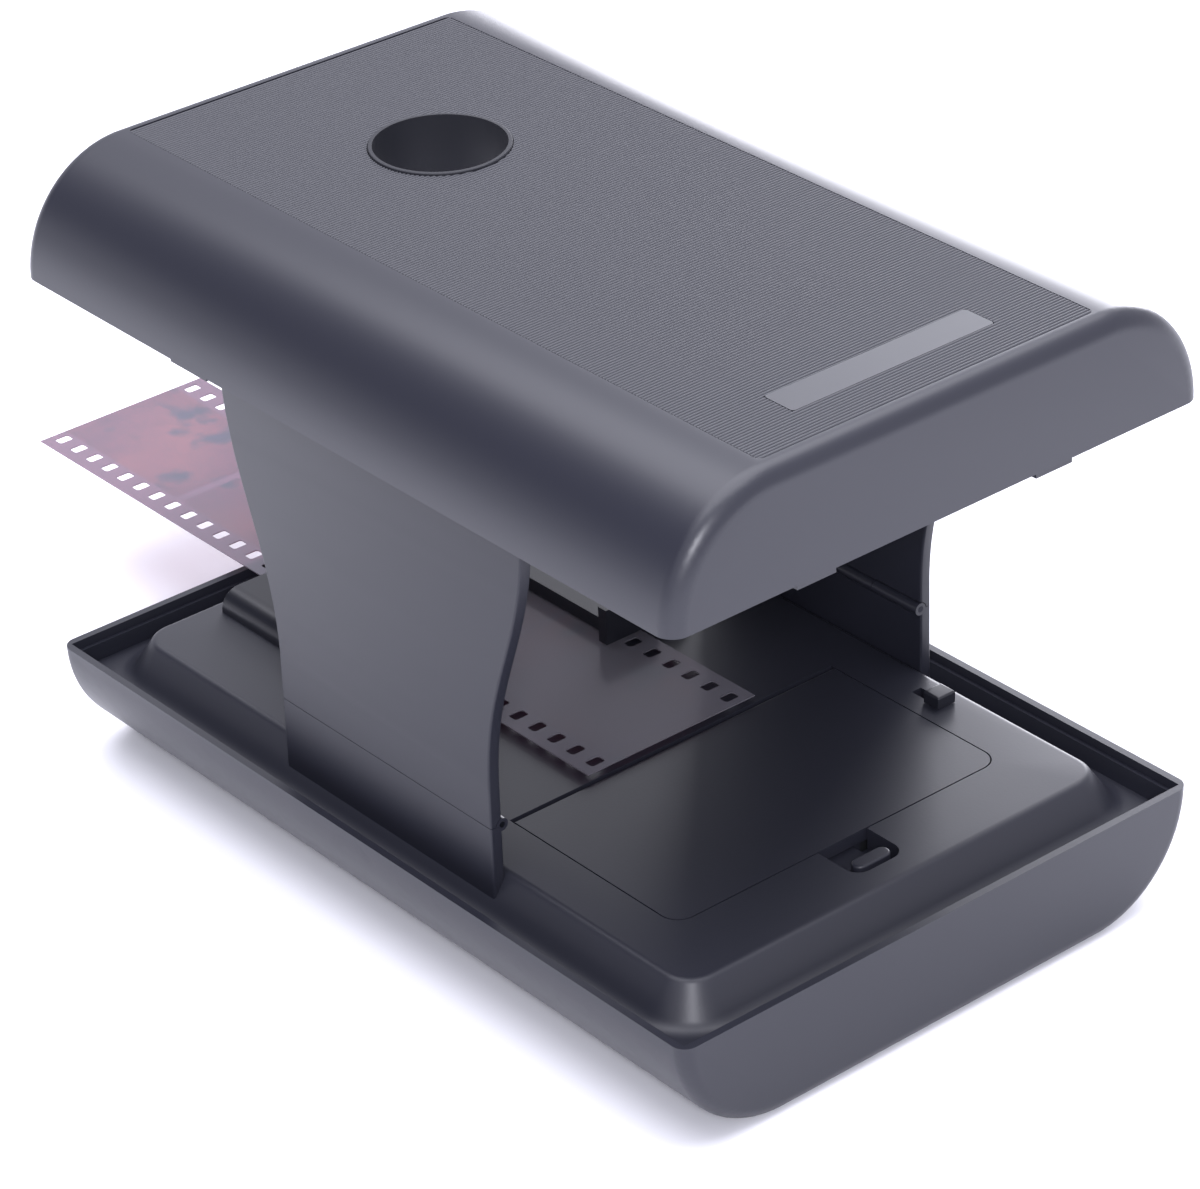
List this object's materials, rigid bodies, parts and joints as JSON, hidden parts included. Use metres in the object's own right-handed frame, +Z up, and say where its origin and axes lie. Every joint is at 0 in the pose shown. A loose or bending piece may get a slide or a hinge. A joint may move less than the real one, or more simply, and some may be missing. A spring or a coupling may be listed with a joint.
{
  "type": "folding film negative scanner stand",
  "caption": "Foldable film scanner: a battery base with lit film gate, folding side panels and a ribbed tray with a camera hole.",
  "frame": {"origin": "centre of the base's flat underside", "axes": "+X across the case to the right, +Y along the case from the battery door to the film gate, +Z up"},
  "size_m": [0.105, 0.215, 0.1088],
  "materials": {
    "case_plastic": "dark charcoal, fine moulded texture",
    "panel_plastic": "dark charcoal sheet, satin",
    "gate_plastic": "black, semi-gloss",
    "inner_plastic": "black, moulded",
    "lamp_white": "white, moulded",
    "diffuser_opal": "opal white",
    "board": "white solder mask",
    "cell_jacket": "printed sleeve, plain",
    "plated_steel": "nickel plated",
    "pad_rubber": "black, matt",
    "mat_rubber": "dark charcoal, fine ribs",
    "film": "tinted film base, translucent"
  },
  "bodies": {
    "base": {"base_shell": "case_plastic", "base_pads": "pad_rubber", "base_screws": "plated_steel", "base_deck": "case_plastic", "battery_box": "inner_plastic", "battery_1": "cell_jacket", "battery_2": "cell_jacket", "battery_contacts": "plated_steel", "battery_springs": "plated_steel", "switch_body": "inner_plastic", "light_box": "lamp_white", "led_board": "board", "leds": "lamp_white", "light_diffuser": "diffuser_opal", "film_gate_cover": "gate_plastic", "left_panel_foot": "panel_plastic", "left_hinge_pin": "plated_steel", "right_panel_foot": "panel_plastic", "right_hinge_pin": "plated_steel"},
    "tray": {"tray_shell": "case_plastic", "grip_mat": "mat_rubber", "camera_hole_ring": "gate_plastic", "blank_plate": "gate_plastic", "left_seat_rail": "inner_plastic", "right_seat_rail": "inner_plastic"},
    "left_panel": {"left_panel": "panel_plastic"},
    "right_panel": {"right_panel": "panel_plastic"},
    "film": {"film_strip": "film"},
    "battery_door": {"battery_door": "case_plastic"},
    "door_latch": {"door_latch": "case_plastic"},
    "switch_knob": {"switch_knob": "gate_plastic"}
  },
  "joints": [
    {"name": "tray_lift", "type": "slide", "parent": "base", "child": "tray", "axis": [0, 0, 1], "range_m": [0, 0.06]},
    {"name": "left_panel_fold", "type": "hinge", "parent": "base", "child": "left_panel", "pos_m": [-0.0435, -0.001, 0.0307], "axis": [0, -1, 0], "range_deg": [-90, 0]},
    {"name": "right_panel_fold", "type": "hinge", "parent": "base", "child": "right_panel", "pos_m": [0.0435, -0.001, 0.0333], "axis": [0, 1, 0], "range_deg": [-90, 0]},
    {"name": "film_feed", "type": "slide", "parent": "base", "child": "film", "axis": [0, 1, 0], "range_m": [0, 0.076]},
    {"name": "battery_door_swing", "type": "hinge", "parent": "base", "child": "battery_door", "pos_m": [0, -0.0178, 0.0209], "axis": [-1, 0, 0], "range_deg": [0, 95]},
    {"name": "latch_press", "type": "slide", "parent": "battery_door", "child": "door_latch", "axis": [0, 1, 0], "range_m": [0, 0.0012], "stiffness_N_per_m": 150},
    {"name": "power_switch", "type": "slide", "parent": "base", "child": "switch_knob", "axis": [0, 1, 0], "range_m": [0, 0.004]}
  ]
}
